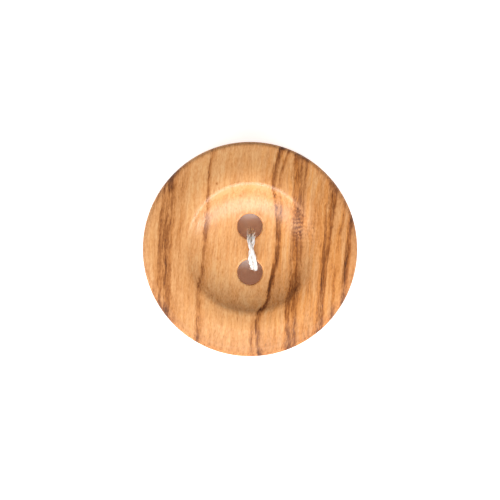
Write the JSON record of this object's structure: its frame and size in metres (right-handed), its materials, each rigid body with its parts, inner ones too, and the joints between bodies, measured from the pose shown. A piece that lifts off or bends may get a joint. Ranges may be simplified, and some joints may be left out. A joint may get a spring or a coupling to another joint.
{
  "type": "sew-on button",
  "caption": "Turned wooden sew-on button with a dished face, a raised ridge and a crowned rim, held by a doubled thread tied through its sewing holes.",
  "frame": {"origin": "centre of the flat ring of the back face, which the button rests on", "axes": "+Z out of the dished front, along the axis the disc was turned about; Y along the line of the sewing holes"},
  "size_m": [0.028, 0.028, 0.0055],
  "materials": {
    "wood": "satin, oiled, fine straight grain with brown streaks",
    "thread": "twisted sewing thread with a soft lustre"
  },
  "bodies": {
    "button": {"button_disc": "wood"},
    "thread_tie": {"thread_strand_over": "thread", "thread_strand_under": "thread", "thread_knot": "thread", "thread_tail_1": "thread", "thread_tail_2": "thread", "thread_tail_3": "thread", "thread_tail_4": "thread"}
  },
  "joints": [
    {"name": "stitch_slack", "type": "slide", "parent": "button", "child": "thread_tie", "axis": [0, 0, 1], "range_m": [0, 0.0003]}
  ]
}
